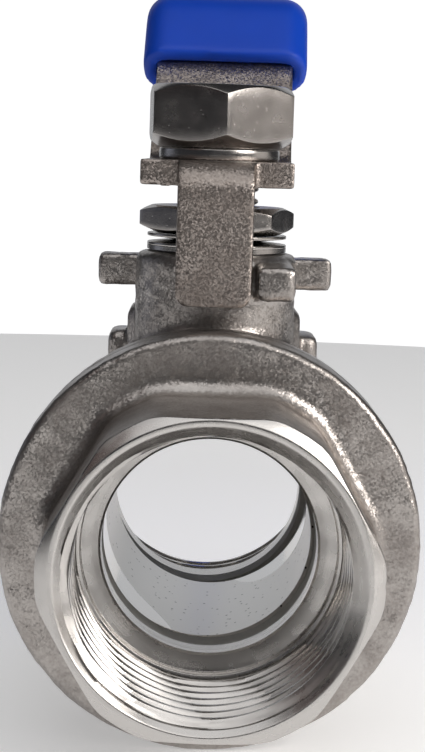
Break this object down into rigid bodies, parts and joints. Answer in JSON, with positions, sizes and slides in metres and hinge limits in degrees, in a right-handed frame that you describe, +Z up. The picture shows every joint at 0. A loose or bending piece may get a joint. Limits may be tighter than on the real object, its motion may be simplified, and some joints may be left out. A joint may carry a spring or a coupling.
{
  "type": "ball valve",
  "caption": "Two-piece full-port ball valve with female pipe threads at both ends, a packed stem and a quarter-turn lever handle with a plastic sleeve.",
  "frame": {"origin": "the ball's centre, where the flow axis meets the stem's axis", "axes": "+Y along the flow, away from the end cap and along the open handle; +Z up the stem; +X completes a right-handed frame"},
  "size_m": [0.0488, 0.1925, 0.0906],
  "materials": {
    "cast_stainless": "as cast, shot blasted",
    "cast_stainless_cap": "as cast, threads and faces machined",
    "ptfe": "waxy white PTFE",
    "turned_stainless": "turned",
    "polished_ball": "ground and polished",
    "spring_steel": "pressed, bright",
    "stainless_nut": "cold formed, bright",
    "blasted_stainless": "pressed sheet, tumbled",
    "blue_vinyl": "soft dipped vinyl"
  },
  "bodies": {
    "valve_body": {"body": "cast_stainless", "end_cap": "cast_stainless_cap", "body_seal": "ptfe", "seat_cap_side": "ptfe", "seat_body_side": "ptfe", "thrust_washer": "ptfe", "packing_ring_bottom": "ptfe", "packing_ring_middle": "ptfe", "packing_ring_top": "ptfe", "gland": "turned_stainless"},
    "lever": {"stem": "turned_stainless", "spring_washer_lower": "spring_steel", "spring_washer_upper": "spring_steel", "pack_nut": "stainless_nut", "handle": "blasted_stainless", "handle_sleeve": "blue_vinyl", "handle_washer": "spring_steel", "handle_nut": "stainless_nut"},
    "closure": {"ball": "polished_ball"}
  },
  "joints": [
    {"name": "handle_turn", "type": "hinge", "parent": "valve_body", "child": "lever", "pos_m": [0, 0, 0.0424], "axis": [0, 0, -1], "range_deg": [-1.7, 88.3]},
    {"name": "ball_turn", "type": "hinge", "parent": "valve_body", "child": "closure", "pos_m": [0, 0, 0], "axis": [0, 0, -1], "range_deg": [-1.7, 88.3]}
  ],
  "couplings": [
    {"joint": "ball_turn", "follows": "handle_turn", "ratio": 1}
  ]
}
